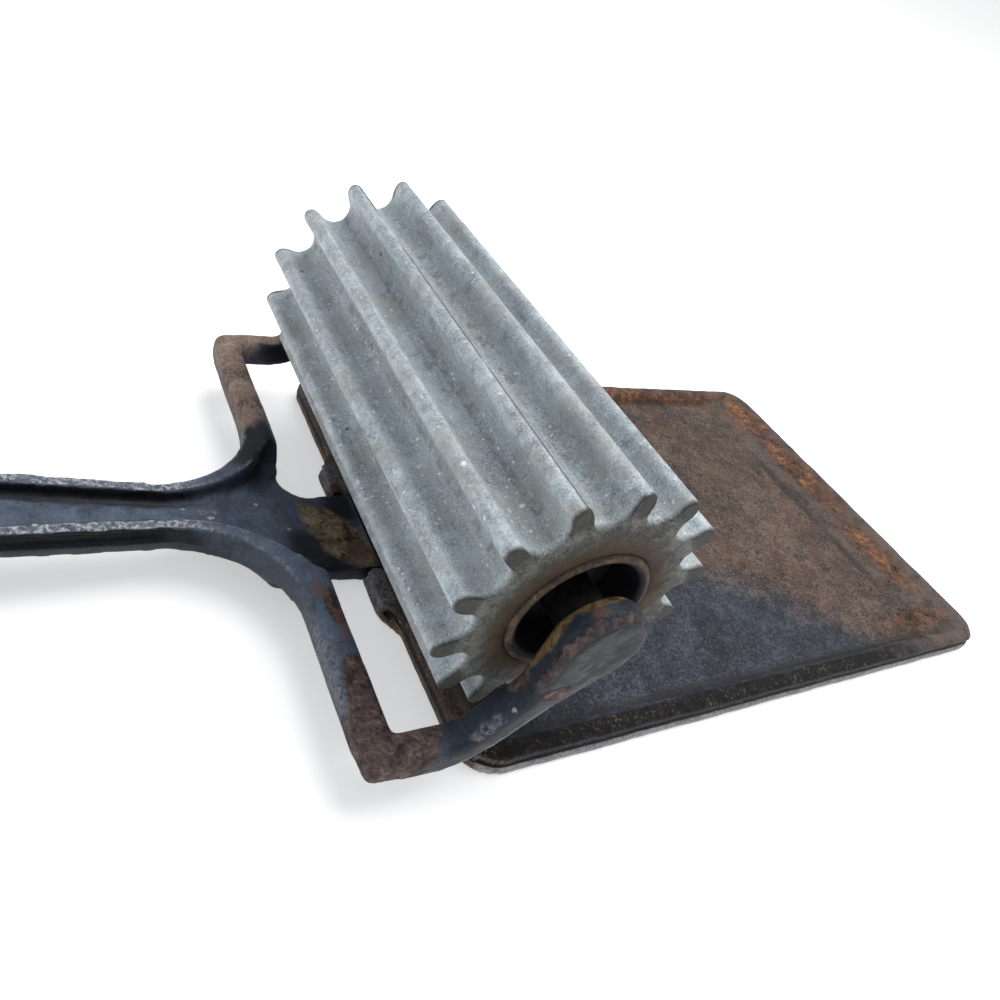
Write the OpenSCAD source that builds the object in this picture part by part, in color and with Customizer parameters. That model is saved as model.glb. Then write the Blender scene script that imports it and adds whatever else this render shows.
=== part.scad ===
// Fluting iron: a ridged roller in a forked cast handle, hinged to a shallow tray plate.
// X runs from the handle to the plate's free end, Y along the roller, Z up from the table.

/* [Plate] */
// Length of the plate
plate_l = 152; // [120:1:190]
// Width of the plate
plate_w = 102; // [84:1:130]
// Height of the rim above the table
rim_h = 4.1; // [3.8:0.1:7]
// Radius of the plate's corners
plate_corner_r = 7.5; // [4:0.5:12]
// Round along the rim's outer top edge
rim_round = 1; // [0.4:0.1:1.6]
// Width of the rim's flat top
rim_w = 2.4; // [1.4:0.1:5]
// Depth of the tray below the rim
tray_depth = 2.3; // [1:0.1:2.8]
// Run of the slope from the rim down to the tray's floor
rim_slope = 2.2; // [1:0.1:6]
// Run of the broad slope at the free end
front_slope = 15; // [4:0.5:30]

/* [Roller] */
// Length of the roller
roller_l = 87; // [60:1:120]
// Diameter over the ridges
roller_d = 45; // [36:0.5:60]
// Number of ridges
ridge_count = 14; // [10:1:18]
// Depth of the valleys between the ridges
ridge_depth = 5; // [3:0.1:6]
// Radius of a ridge's tip
ridge_tip_r = 1.5; // [1:0.1:2]
// Turn of the first ridge, from the X axis towards the Z axis
ridge_phase = 116.3; // [0:0.1:360]
// Distance of the roller's axis from the plate's rear edge
roller_inset = 10.1; // [4:0.1:20]
// Clear height between the roller and the rim
roller_clear = 4.65; // [3:0.05:8]

/* [Roller bearings] */
// Outside diameter of the liner tube
tube_d = 23.3; // [18:0.1:26]
// Wall of the liner tube
tube_wall = 1.8; // [1.2:0.1:3]
// How far the tube stands out of the roller's ends
tube_proud = 0.5; // [0.2:0.1:1.5]
// Length of a bearing bush
bush_l = 8; // [4:0.5:14]
// Depth of a bush inside the tube's end
bush_recess = 7; // [3:0.5:12]
// Diameter of the pivots that carry the roller
pivot_d = 8; // [5:0.1:10]
// Play all round a turning pin
run_clear = 0.06; // [0.02:0.01:0.1]

/* [Fork] */
// Gap between the roller's end and an arm
arm_gap = 2.6; // [1.5:0.1:6]
// Thickness of an arm across the roller's axis
arm_t = 5.2; // [4:0.1:8]
// Height of the arms' bar
bar_h = 5.2; // [4:0.1:7]
// Round on the bars' upper edges
bar_round = 1.9; // [0.6:0.1:1.9]
// Round on the bars' lower edges
bar_foot_round = 0.6; // [0.3:0.1:1.4]
// Drop of the arms' level stretch below the roller's axis
bar_drop = 20.6; // [16:0.1:24]
// Rise of the arms up to the roller's axis, in degrees
arm_rise = 52; // [40:1:70]
// Radius of the arms' upward bend
bend_r = 7; // [5:0.5:10]
// Radius of the fork's corners
elbow_r = 3.4; // [3:0.1:8]
// Gap between the roller and the fork's cross bar
cross_gap = 1.6; // [1:0.1:6]
// Inset of the hub's front behind the front of the cross bar
hub_inset = 1; // [0.5:0.1:2]
// Radius of the eyes at the arms' ends
eye_r = 7.3; // [6:0.1:10]
// Round on an eye's edges
eye_round = 1.4; // [0.5:0.1:2]
// End of an arm's rising stretch behind the eye's centre
arm_end_back = 2.05; // [0:0.05:4]
// End of an arm's rising stretch below the eye's centre
arm_end_down = 5.5; // [4:0.1:7]
// Length of an arm's rise before it widens into the eye
rise_plain = 9.8; // [3:0.1:12]
// Metal left outside the pivot in the near eye
eye_skin = 1.2; // [0.8:0.1:2]

/* [Handle] */
// Length of the handle behind the fork's cross bar
handle_l = 138; // [100:1:170]
// Width of the handle at its waist
waist_w = 10.6; // [9:0.1:16]
// Width of the handle at its rounded end
grip_w = 24; // [16:0.5:30]
// Thickness of the handle at its waist
handle_h = 5.2; // [4.6:0.1:8]
// Length of the slim neck between the sweep and the grip
neck_l = 30; // [15:1:50]
// Thickness of the handle at the end of its neck
neck_h = 4.9; // [4.6:0.1:8]
// Greatest thickness of the grip
grip_h = 10; // [6:0.1:14]
// Thickness of the handle at its rounded end
butt_h = 7.5; // [5:0.1:10]
// Upward tilt of the handle, in degrees
handle_tilt = 4.8; // [0:0.1:10]
// Radius of the sweep from the handle into the fork
sweep_r = 17.5; // [10:0.5:24]
// Width of the ribs along the handle's edges
rib_w = 2.4; // [1.8:0.1:3.5]
// Depth of the handle's web below the ribs
web_drop = 2.2; // [1:0.1:2.6]
// Thickness of the web and the tongue
web_t = 3; // [2:0.1:3.4]
// Drop of the web from the waist to the hub
knee_drop = 0.8; // [0.4:0.1:1.6]
// How far the sweep of the ribs' inner walls would run past the cross bar's front
throat_over = 0.5; // [0.2:0.1:1.5]
// Width of the hub's floor beside the tongue
throat_side = 2; // [1:0.1:4]
// Rise of the walls beside the hub's floor, in degrees
throat_rise = 56; // [40:1:75]
// Depth of the groove along the handle's sides
groove_d = 1.1; // [0.5:0.1:1.6]
// Height of the groove along the handle's sides
groove_h = 2; // [1:0.1:2.4]
// Thickness of the lip above the groove
groove_lip = 0.9; // [0.6:0.1:1.4]

/* [Hinge] */
// Width of the tongue that the plate hinges on
tongue_w = 19; // [12:0.5:24]
// Gap beside the tongue
tongue_gap = 0.3; // [0.2:0.05:0.6]
// Radius of the fillets where the tongue leaves the cross bar
tongue_fillet = 4.9; // [2:0.1:8]
// Start of the tongue's foot behind the middle of its slope
foot_back = 1; // [0:0.1:3]
// Clear height below the tongue's foot
foot_lift = 1; // [0.3:0.1:1.5]
// Radius of the plate's hinge ears
ear_r = 2.3; // [2:0.1:3.2]
// Width of an ear's nose, behind the hinge
ear_nose_w = 6.1; // [4:0.1:10]
// Width of an ear along the hinge
ear_w = 9.5; // [6:0.1:16]
// Width of an ear where it meets the plate
ear_foot_w = 15.2; // [8:0.1:24]
// Distance of the hinge's axis behind the plate's rear edge
hinge_out = 1.1; // [0.5:0.1:3]
// Diameter of the hinge pin
hinge_pin_d = 2; // [1.6:0.1:2.6]
// Distance of the pin's ends inside the ears
pin_inset = 1.9; // [0:0.1:4]
// Clear height below the tongue's barrel
barrel_lift = 0.2; // [0.1:0.05:0.6]
// Gap between the tongue's barrel and the plate
barrel_gap = 0.3; // [0.2:0.05:0.6]
// Gap at the tongue's heel, which stops the handle from dropping
heel_gap = 0.06; // [0.04:0.01:0.15]
// Height of the heel below the hinge's axis
heel_h = 1.6; // [1:0.1:1.9]

/* [Hidden] */
$fn = 96;

// Overlap of a cut past the face that it opens
cut = 1;
// Lap of a straight bar into the bend beside it
lap = 0.6;
// Extra size of a straight bar where it takes in a bend
swell = 0.08;
// Fit of the tube in the roller's bore
tube_fit = 0.05;
// Small step that keeps the ribs' tops off the bars' tops
rib_step = 0.3;
// Small step of the tongue's top below the top of its barrel
barrel_step = 0.2;
// Small step where the rim's bevel starts
seam = 0.05;
// Thickness of the slabs that shape the rim's bevel
slab = 0.5;

// Roller: its axis, its root and the round of its valleys
roller_r = roller_d / 2;
roller_x = -plate_l / 2 + roller_inset;
roller_z = rim_h + roller_clear + roller_r;
root_r = roller_r - ridge_depth;
half_pitch = 180 / ridge_count;
valley_r = (root_r * sin(half_pitch) - ridge_tip_r) / (1 - sin(half_pitch));
valley_x = root_r + valley_r;
tube_r = tube_d / 2;
tube_end = roller_l / 2 + tube_proud;
bush_y = tube_end - bush_recess - bush_l;

// Hinge: its axis, the barrel of the tongue and the notch behind it
hinge_x = -plate_l / 2 - hinge_out;
hinge_z = ear_r;
barrel_r = ear_r - barrel_lift;
notch_x = hinge_x + barrel_r + barrel_gap;
heel_x = notch_x - heel_gap;
ear_y0 = tongue_w / 2 + tongue_gap;
pin_half = ear_y0 + ear_w - pin_inset;

// Fork: the lines of its bars
arm_in = roller_l / 2 + arm_gap;
arm_y = arm_in + arm_t / 2;
bar_z = roller_z - bar_drop;
cross_x = roller_x - roller_r - cross_gap - arm_t / 2;
cross_back = cross_x - arm_t / 2;
cross_front = cross_x + arm_t / 2;
hub_front = cross_front - hub_inset;
// The rising stretch ends inside the eye, below and behind its centre
arm_end = [roller_x - arm_end_back, roller_z - arm_end_down];
bend_run = bend_r * tan(arm_rise / 2);
bend_corner = arm_end[0] - (arm_end[1] - bar_z) / tan(arm_rise);
bend_x = bend_corner - bend_run;
bend_end = [bend_x + bend_r * sin(arm_rise), bar_z + bend_r * (1 - cos(arm_rise))];

// Handle: its ends and the levels of the ribs, web and tongue
waist_x = cross_back - sweep_r;
grip_r = grip_w / 2;
end_x = cross_back - handle_l;
grip_x = end_x + grip_r;
rib_z = bar_z + bar_h / 2 - rib_step;
neck_x = waist_x - neck_l;
belly_x = (neck_x + grip_x) / 2;
// Underside of the handle, from the hub to the rounded end
handle_foot = [
    [waist_x, handle_top(waist_x) - handle_h],
    [neck_x, handle_top(neck_x) - neck_h],
    [belly_x, handle_top(belly_x) - grip_h],
    [end_x - cut, handle_top(end_x) - butt_h]
];
knee_x = cross_back - sweep_r / 2;
knee_z = rib_z - web_drop - knee_drop;
tongue_x = (cross_front + hinge_x) / 2 - foot_back;
tongue_z = web_t + foot_lift;
// Hub: the fall of its floor, the sweep of its inner walls and the widths of its floor and its middle
web_fall = atan2(knee_z - tongue_z, tongue_x - knee_x);
throat_r = sweep_r + arm_t + throat_over;
throat_y = waist_w / 2 - rib_w + throat_r;
throat_half = tongue_w / 2 + throat_side;
hub_half = throat_half + rib_w;

// Height of the ribs' tops along the tilted handle
function handle_top(x) = rib_z + (waist_x - x) * tan(handle_tilt);

// Outlines

// Section of the fork's bars, well rounded above and less below, grown all round by some distance
module bar_section(grow) {
    w = arm_t / 2 + grow;
    h = bar_h / 2 + grow;
    top_r = bar_round + grow;
    foot_r = bar_foot_round + grow;
    for (side = [-1, 1]) {
        translate([side * (w - top_r), h - top_r]) circle(top_r);
        translate([side * (w - foot_r), foot_r - h]) circle(foot_r);
    }
    translate([-w, foot_r - h]) square([2 * w, 2 * h - top_r - foot_r]);
    translate([top_r - w, 0]) square([2 * (w - top_r), h]);
    translate([foot_r - w, -h]) square([2 * (w - foot_r), h]);
}

// Rectangle about the origin with round corners
module round_rect(l, w, r) {
    square([l - 2 * r, w], center = true);
    square([l, w - 2 * r], center = true);
    for (x = [-1, 1], y = [-1, 1])
        translate([x * (l / 2 - r), y * (w / 2 - r)]) circle(r);
}

// Plan of the handle and its sweep into the cross bar, drawn in by some distance
module handle_plan(inset) {
    translate([grip_x, 0]) circle(grip_r - inset);
    polygon([
        [grip_x, grip_r - inset],
        [waist_x, waist_w / 2 - inset],
        [waist_x, -waist_w / 2 + inset],
        [grip_x, -grip_r + inset]
    ]);
    difference() {
        translate([waist_x, -waist_w / 2 - sweep_r])
            square([hub_front - waist_x, waist_w + 2 * sweep_r]);
        for (side = [-1, 1])
            translate([waist_x, side * (waist_w / 2 + sweep_r)]) circle(sweep_r + inset);
    }
}

// Plan of the space between the ribs' inner walls, which sweep from the waist to the cross bar's front
module throat_plan() {
    difference() {
        translate([waist_x - cut, -throat_y]) square([cross_front - waist_x + 2 * cut, 2 * throat_y]);
        for (side = [-1, 1])
            translate([waist_x, side * throat_y]) circle(throat_r);
    }
}

// Plan of the recess between the ribs, open towards the tongue
module recess_plan() {
    intersection() {
        handle_plan(rib_w);
        translate([end_x, -grip_r]) square([waist_x - end_x, grip_w]);
    }
    intersection() {
        throat_plan();
        translate([end_x, -tongue_w / 2]) square([cross_front + cut - end_x, tongue_w]);
    }
}

// Plan of the hub's middle, drawn in by some distance
module hub_plan(inset) {
    intersection() {
        handle_plan(inset);
        translate([knee_x, inset - hub_half])
            square([hub_front - inset - knee_x, 2 * (hub_half - inset)]);
    }
}

// Plan of the web and the tongue, with fillets where the tongue leaves the cross bar
module web_plan() {
    intersection() {
        handle_plan(rib_w / 2);
        translate([end_x, -grip_r]) square([knee_x + cut - end_x, grip_w]);
    }
    hub_plan(rib_w / 2);
    translate([cross_back, -tongue_w / 2]) square([hinge_x - cross_back, tongue_w]);
    difference() {
        translate([cross_x, -tongue_w / 2 - tongue_fillet])
            square([cross_front - cross_x + tongue_fillet, tongue_w + 2 * tongue_fillet]);
        for (side = [-1, 1])
            translate([cross_front + tongue_fillet, side * (tongue_w / 2 + tongue_fillet)])
                circle(tongue_fillet);
    }
}

// Side view of the handle and hub, from the ribs' tops down to the web's underside
module handle_side() {
    polygon(concat([
        [end_x - cut, handle_top(end_x)],
        [waist_x, rib_z],
        [hub_front, rib_z],
        [hub_front, bar_z - bar_h / 2],
        [knee_x, knee_z - web_t]
    ], handle_foot));
}

// Side view of the hub's middle, which fills the height between the bars and the sloping web
module hub_side() {
    foot_z = knee_z - web_t + lap;
    polygon([
        [knee_x, bar_z],
        [cross_front, bar_z],
        [cross_front, foot_z - (cross_front - knee_x) * tan(web_fall)],
        [knee_x, foot_z]
    ]);
}

// Side view of the web, which slopes down into the tongue and ends at the hinge
module web_side() {
    polygon(concat([
        [end_x - cut, handle_top(end_x) - web_drop],
        [waist_x, rib_z - web_drop],
        [knee_x, knee_z],
        [tongue_x, tongue_z],
        [hinge_x, hinge_z + barrel_r - barrel_step],
        [hinge_x, hinge_z - barrel_r],
        [tongue_x, tongue_z - web_t],
        [knee_x, knee_z - web_t]
    ], handle_foot));
}

// Side view of the grooves along the handle
module groove_side() {
    polygon([
        [end_x - cut, handle_top(end_x) - groove_lip],
        [waist_x, rib_z - groove_lip],
        [waist_x, rib_z - groove_lip - groove_h],
        [end_x - cut, handle_top(end_x) - groove_lip - groove_h]
    ]);
}

// Side view of the barrel at the tongue's end, with its square heel below
module barrel_side() {
    translate([hinge_x, hinge_z]) circle(barrel_r);
    translate([hinge_x, hinge_z - heel_h]) square([heel_x - hinge_x, heel_h]);
}

// End view of the roller: round valleys and round ridge tips that run into each other
module ridge_profile() {
    difference() {
        circle(valley_x);
        for (i = [0 : ridge_count - 1])
            rotate(half_pitch * (2 * i + 1)) translate([valley_x, 0]) circle(valley_r);
    }
    for (i = [0 : ridge_count - 1])
        rotate(half_pitch * 2 * i) {
            translate([root_r, -ridge_tip_r]) square([ridge_depth - ridge_tip_r, 2 * ridge_tip_r]);
            translate([roller_r - ridge_tip_r, 0]) circle(ridge_tip_r);
        }
}

// Helpers

// Raises an outline seen from above through the whole height of the part
module from_above() {
    linear_extrude(roller_z * 2, center = true) children();
}

// Extends an outline seen from the side to both sides of the middle
module from_side(width) {
    rotate([90, 0, 0]) linear_extrude(width, center = true) children();
}

// Places something made along Z on the roller's axis, with Z towards the near side
module on_roller_axis() {
    translate([roller_x, 0, roller_z]) rotate([90, 0, 0]) children();
}

// Straight bar along X, from the origin, lapping into its neighbours
module bar(l) {
    translate([-lap, 0, 0]) rotate([90, 0, 90])
        linear_extrude(l + 2 * lap) bar_section(swell);
}

// Pieces of the fork

// One arm, on the far side: cross bar, corner, level stretch, bend, and the rise that widens into the eye
module arm() {
    translate([cross_x, tongue_w / 2, bar_z]) rotate([0, 0, 90])
        bar(arm_y - elbow_r - tongue_w / 2);
    translate([cross_x + elbow_r, arm_y - elbow_r, bar_z]) rotate([0, 0, 90])
        rotate_extrude(angle = 90) translate([elbow_r, 0]) bar_section(0);
    translate([cross_x + elbow_r, arm_y, bar_z]) bar(bend_x - cross_x - elbow_r);
    translate([bend_x, arm_y, bar_z + bend_r]) rotate([90, 0, 0]) rotate([0, 0, -90])
        rotate_extrude(angle = arm_rise) translate([bend_r, 0]) rotate(90) bar_section(0);
    translate([bend_end[0], arm_y, bend_end[1]]) rotate([0, -arm_rise, 0]) bar(rise_plain);
    hull() {
        translate([bend_end[0], arm_y, bend_end[1]]) rotate([0, -arm_rise, 0])
            translate([rise_plain - lap, 0, 0]) rotate([90, 0, 90])
                linear_extrude(lap) bar_section(0, $fn = 24);
        translate([roller_x, arm_y, roller_z]) rotate([90, 0, 0])
            rotate_extrude($fn = 48) eye_section($fn = 16);
    }
}

// Half section of an eye, with rounded edges
module eye_section() {
    translate([0, -arm_t / 2]) square([eye_r - eye_round, arm_t]);
    translate([0, -arm_t / 2 + eye_round]) square([eye_r, arm_t - 2 * eye_round]);
    for (side = [-1, 1])
        translate([eye_r - eye_round, side * (arm_t / 2 - eye_round)]) circle(eye_round);
}

// Body of the handle and hub, with the grooves along the handle's sides
module handle_body() {
    difference() {
        intersection() {
            from_above() handle_plan(0);
            from_side(2 * arm_y) handle_side();
        }
        intersection() {
            from_above() difference() {
                handle_plan(-cut);
                handle_plan(groove_d);
            }
            from_side(2 * arm_y) groove_side();
        }
    }
    intersection() {
        from_above() hub_plan(rib_w / 4);
        from_side(2 * arm_y) hub_side();
    }
}

// Space cut out above the web: the recess between the ribs and the hub's sloping walls
module recess() {
    wall_h = rib_z - tongue_z;
    wall_run = wall_h / tan(throat_rise);
    foot_run = lap / tan(throat_rise);
    from_above() recess_plan();
    intersection() {
        from_above() throat_plan();
        translate([knee_x, 0, knee_z]) rotate([0, web_fall, 0]) rotate([90, 0, 90])
            linear_extrude(handle_l, center = true) polygon([
                [throat_half - foot_run, -lap],
                [throat_half + wall_run, wall_h],
                [-throat_half - wall_run, wall_h],
                [foot_run - throat_half, -lap]
            ]);
    }
}

// Web between the ribs, running down into the tongue
module web() {
    intersection() {
        from_above() web_plan();
        from_side(2 * arm_y) web_side();
    }
}

// One of the plate's hinge ears, on the far side
module ear() {
    intersection() {
        from_side(plate_w) {
            translate([hinge_x, hinge_z]) circle(ear_r);
            translate([hinge_x, 0]) square([hinge_out + rim_w, rim_h - rim_round / 2]);
        }
        from_above() polygon([
            [hinge_x - ear_r - cut, ear_y0],
            [hinge_x - ear_r - cut, ear_y0 + ear_nose_w],
            [hinge_x - ear_r / 2, ear_y0 + ear_w],
            [hinge_x + hinge_out + rim_w, ear_y0 + ear_foot_w],
            [hinge_x + hinge_out + rim_w, ear_y0]
        ]);
    }
}

// Nodes

// Tray plate with a raised rim and the two hinge ears
module base_plate() {
    top_r = plate_corner_r - rim_round;
    tray_r = plate_corner_r - rim_round / 2;
    floor_l = plate_l - 2 * (rim_round + rim_w);
    floor_w = plate_w - 2 * (rim_round + rim_w);
    color("#5d4a40") difference() {
        union() {
            linear_extrude(rim_h - rim_round) round_rect(plate_l, plate_w, plate_corner_r);
            hull() {
                translate([0, 0, rim_h - rim_round - slab]) linear_extrude(slab)
                    round_rect(plate_l - 2 * seam, plate_w - 2 * seam, plate_corner_r - seam, $fn = 32);
                translate([0, 0, rim_h - slab]) linear_extrude(slab)
                    round_rect(plate_l - 2 * rim_round, plate_w - 2 * rim_round, top_r, $fn = 32);
            }
            ear();
            mirror([0, 1, 0]) ear();
        }
        hull() {
            translate([0, 0, rim_h]) linear_extrude(cut)
                round_rect(floor_l, floor_w, tray_r, $fn = 32);
            translate([(rim_slope - front_slope) / 2, 0, rim_h - tray_depth]) linear_extrude(cut)
                round_rect(floor_l - rim_slope - front_slope, floor_w - 2 * rim_slope, tray_r, $fn = 32);
        }
        translate([notch_x - hinge_out - 2 * ear_r, -ear_y0, -cut])
            cube([hinge_out + 2 * ear_r, 2 * ear_y0, rim_h + 2 * cut]);
        translate([hinge_x, 0, hinge_z]) rotate([90, 0, 0])
            cylinder(d = hinge_pin_d, h = plate_w, center = true);
    }
}

// Pin that joins the plate's ears and the tongue
module hinge_pin() {
    color("#3a3531") translate([hinge_x, 0, hinge_z]) rotate([90, 0, 0])
        cylinder(d = hinge_pin_d, h = 2 * pin_half, center = true);
}

// Casting of the handle, hub, fork and tongue
module yoke_handle() {
    color("#23262c") difference() {
        union() {
            difference() {
                union() {
                    arm();
                    mirror([0, 1, 0]) arm();
                    handle_body();
                }
                recess();
            }
            web();
            from_side(tongue_w) barrel_side();
        }
        on_roller_axis() cylinder(d = pivot_d, h = arm_in + arm_t - eye_skin);
        mirror([0, 1, 0]) on_roller_axis() cylinder(d = pivot_d, h = arm_in + arm_t + cut);
        translate([hinge_x, 0, hinge_z]) rotate([90, 0, 0])
            cylinder(d = hinge_pin_d + 2 * run_clear, h = 2 * tongue_w, center = true);
    }
}

// Pivot on the near side, set in the arm's closed eye and reaching through its bush
module pivot_near() {
    color("#2c2a29") on_roller_axis() translate([0, 0, bush_y])
        cylinder(d = pivot_d, h = arm_in + arm_t - eye_skin - bush_y);
}

// Pivot on the far side, which ends flush with its open eye
module pivot_far() {
    color("#2c2a29") mirror([0, 1, 0]) on_roller_axis() translate([0, 0, bush_y])
        cylinder(d = pivot_d, h = arm_in + arm_t - bush_y);
}

// Ridged zinc body of the roller
module roller_shell() {
    color("#8d9493") on_roller_axis() difference() {
        rotate(ridge_phase) linear_extrude(roller_l, center = true) ridge_profile();
        cylinder(r = tube_r + tube_fit, h = roller_l + 2 * cut, center = true);
    }
}

// Liner tube inside the roller, with rounded lips at its ends
module roller_tube() {
    lip_r = tube_wall / 2;
    color("#6b513d") on_roller_axis() rotate_extrude() {
        translate([tube_r - tube_wall, -tube_end + lip_r]) square([tube_wall, 2 * (tube_end - lip_r)]);
        for (end = [-1, 1])
            translate([tube_r - lip_r, end * (tube_end - lip_r)]) circle(lip_r);
    }
}

// Bearing bush pressed into the near end of the tube
module bush_near() {
    color("#4b423b") on_roller_axis() translate([0, 0, bush_y]) difference() {
        cylinder(r = tube_r - tube_wall, h = bush_l);
        translate([0, 0, -cut]) cylinder(d = pivot_d + 2 * run_clear, h = bush_l + 2 * cut);
    }
}

// Bearing bush in the far end of the tube
module bush_far() {
    mirror([0, 1, 0]) bush_near();
}

base_plate();
hinge_pin();
yoke_handle();
pivot_near();
pivot_far();
roller_shell();
roller_tube();
bush_near();
bush_far();
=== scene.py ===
import math
import bmesh
import bpy
import numpy as np
from mathutils import Matrix, Vector, noise


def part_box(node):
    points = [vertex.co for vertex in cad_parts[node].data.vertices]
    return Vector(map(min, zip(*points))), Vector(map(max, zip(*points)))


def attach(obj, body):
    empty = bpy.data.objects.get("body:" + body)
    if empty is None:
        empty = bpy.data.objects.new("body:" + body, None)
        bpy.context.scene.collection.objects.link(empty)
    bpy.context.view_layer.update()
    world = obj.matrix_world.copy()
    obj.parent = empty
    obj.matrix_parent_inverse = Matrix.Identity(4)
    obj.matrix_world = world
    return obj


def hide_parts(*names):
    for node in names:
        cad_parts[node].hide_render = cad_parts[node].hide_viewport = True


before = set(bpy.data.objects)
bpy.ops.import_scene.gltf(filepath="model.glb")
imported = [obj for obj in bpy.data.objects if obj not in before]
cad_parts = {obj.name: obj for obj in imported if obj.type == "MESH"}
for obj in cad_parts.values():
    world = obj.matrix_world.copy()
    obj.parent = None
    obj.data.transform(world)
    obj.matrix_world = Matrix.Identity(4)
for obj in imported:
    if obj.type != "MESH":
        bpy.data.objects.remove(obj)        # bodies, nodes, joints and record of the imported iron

scene = bpy.context.scene
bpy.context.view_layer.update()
mm = 0.001
print("frame loaded:", len(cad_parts), "nodes")


# Small helpers for node trees

def setSocket(tree, socket, value):
    if isinstance(value, bpy.types.NodeSocket):
        tree.links.new(value, socket)
    else:
        socket.default_value = value


def newNode(tree, kind, inputs=None, **settings):
    node = tree.nodes.new(kind)
    for key, value in settings.items():
        setattr(node, key, value)
    for key, value in (inputs or {}).items():
        setSocket(tree, node.inputs[key], value)
    return node


def calc(tree, operation, *values, clamp=False):
    node = newNode(tree, "ShaderNodeMath", operation=operation, use_clamp=clamp)
    for socket, value in zip(node.inputs, values):
        setSocket(tree, socket, value)
    return node.outputs[0]


def times(tree, *values):
    total = values[0]
    for value in values[1:]:
        total = calc(tree, "MULTIPLY", total, value)
    return total


def strongest(tree, *masks):
    total = masks[0]
    for mask in masks[1:]:
        total = calc(tree, "MAXIMUM", total, mask)
    return total


def weighed(tree, *pairs):        # a weighted sum of values
    total = 0.0
    for value, weight in pairs:
        total = calc(tree, "MULTIPLY_ADD", value, weight, total)
    return total


def inverted(tree, value):
    return calc(tree, "SUBTRACT", 1.0, value)


def strayed(tree, value, wander, reach):        # a value that noise moves to and fro
    return calc(tree, "MULTIPLY_ADD", calc(tree, "SUBTRACT", wander, 0.5), reach, value)


def vectorCalc(tree, operation, a, b=(0.0, 0.0, 0.0)):
    node = newNode(tree, "ShaderNodeVectorMath", {0: a, 1: b}, operation=operation)
    return node.outputs["Value" if operation in ("LENGTH", "DOT_PRODUCT") else "Vector"]


def joined(tree, x, y, z):
    return newNode(tree, "ShaderNodeCombineXYZ", {"X": x, "Y": y, "Z": z}).outputs[0]


def turned(tree, where, *axes):        # the same point, measured along three other axes
    return joined(tree, *(vectorCalc(tree, "DOT_PRODUCT", where, axis) for axis in axes))


def inMillimetres(tree, where):
    scaled = vectorCalc(tree, "DIVIDE", where, (mm, mm, mm))
    parts = newNode(tree, "ShaderNodeSeparateXYZ", {"Vector": scaled}).outputs
    return parts["X"], parts["Y"], parts["Z"]


def remap(tree, value, low, high, to=(0.0, 1.0), curve="SMOOTHSTEP"):
    node = newNode(tree, "ShaderNodeMapRange", {"Value": value, "From Min": low, "From Max": high,
                                                "To Min": to[0], "To Max": to[1]}, interpolation_type=curve)
    return node.outputs["Result"]


def mixValue(tree, share, a, b):
    node = newNode(tree, "ShaderNodeMix", data_type="FLOAT")
    for index, value in ((0, share), (2, a), (3, b)):
        setSocket(tree, node.inputs[index], value)
    return node.outputs[0]


def mixColour(tree, share, a, b, blend="MIX"):
    node = newNode(tree, "ShaderNodeMix", data_type="RGBA", blend_type=blend)
    for index, value in ((0, share), (6, a), (7, b)):
        if isinstance(value, tuple):
            value = (*value, 1.0)
        setSocket(tree, node.inputs[index], value)
    return node.outputs[2]


def laid(tree, under, over, *masks):        # one colour over another, where all the masks let it
    return mixColour(tree, times(tree, *masks), under, over)


def tones(tree, share, stops):
    node = newNode(tree, "ShaderNodeValToRGB", {"Fac": share})
    points = node.color_ramp.elements
    while len(points) < len(stops):
        points.new(0.5)
    for point, (place, colour) in zip(points, stops):
        point.position = place
        point.color = (*colour, 1.0)
    return node.outputs["Color"]


def noiseOf(tree, where, scale, detail, rough, warp=0.0):
    return newNode(tree, "ShaderNodeTexNoise", {"Vector": where, "Scale": scale, "Detail": detail,
                                                "Roughness": rough, "Distortion": warp}).outputs["Fac"]


def cloud(tree, where, size, detail=4.0, rough=0.55, warp=0.0):        # noise of a size in mm
    return noiseOf(tree, where, 1.0 / (size * mm), detail, rough, warp)


def readAttribute(tree, name):
    return newNode(tree, "ShaderNodeAttribute", attribute_name=name).outputs["Fac"]


def newGroup(name, inputs, outputs, kind="ShaderNodeTree"):
    tree = bpy.data.node_groups.new(name, kind)
    for way, sockets in (("INPUT", inputs), ("OUTPUT", outputs)):
        for label, valueKind in sockets.items():
            tree.interface.new_socket(label, in_out=way, socket_type="NodeSocket" + valueKind)
    return tree, tree.nodes.new("NodeGroupInput").outputs, tree.nodes.new("NodeGroupOutput").inputs


def placeGroup(tree, group, **inputs):
    node = tree.nodes.new("ShaderNodeGroup")
    node.node_tree = group
    for key, value in inputs.items():
        setSocket(tree, node.inputs[key], value)
    return node.outputs


# Shared surface effects

def makePatchGroup():        # a patch about a centre, with a ragged edge
    tree, given, out = newGroup("patch", {"Where": "Vector", "Centre": "Vector", "Reach": "Vector",
                                          "Ragged": "Float", "Grain": "Float", "Soft": "Float"}, {"Mask": "Float"})
    offset = vectorCalc(tree, "SUBTRACT", given["Where"], given["Centre"])
    far = vectorCalc(tree, "LENGTH", vectorCalc(tree, "DIVIDE", offset, given["Reach"]))
    far = strayed(tree, far, noiseOf(tree, given["Where"], given["Grain"], 5.0, 0.65), given["Ragged"])
    low, high = inverted(tree, given["Soft"]), calc(tree, "ADD", 1.0, given["Soft"])
    tree.links.new(remap(tree, far, low, high, (1.0, 0.0)), out["Mask"])
    return tree


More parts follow.
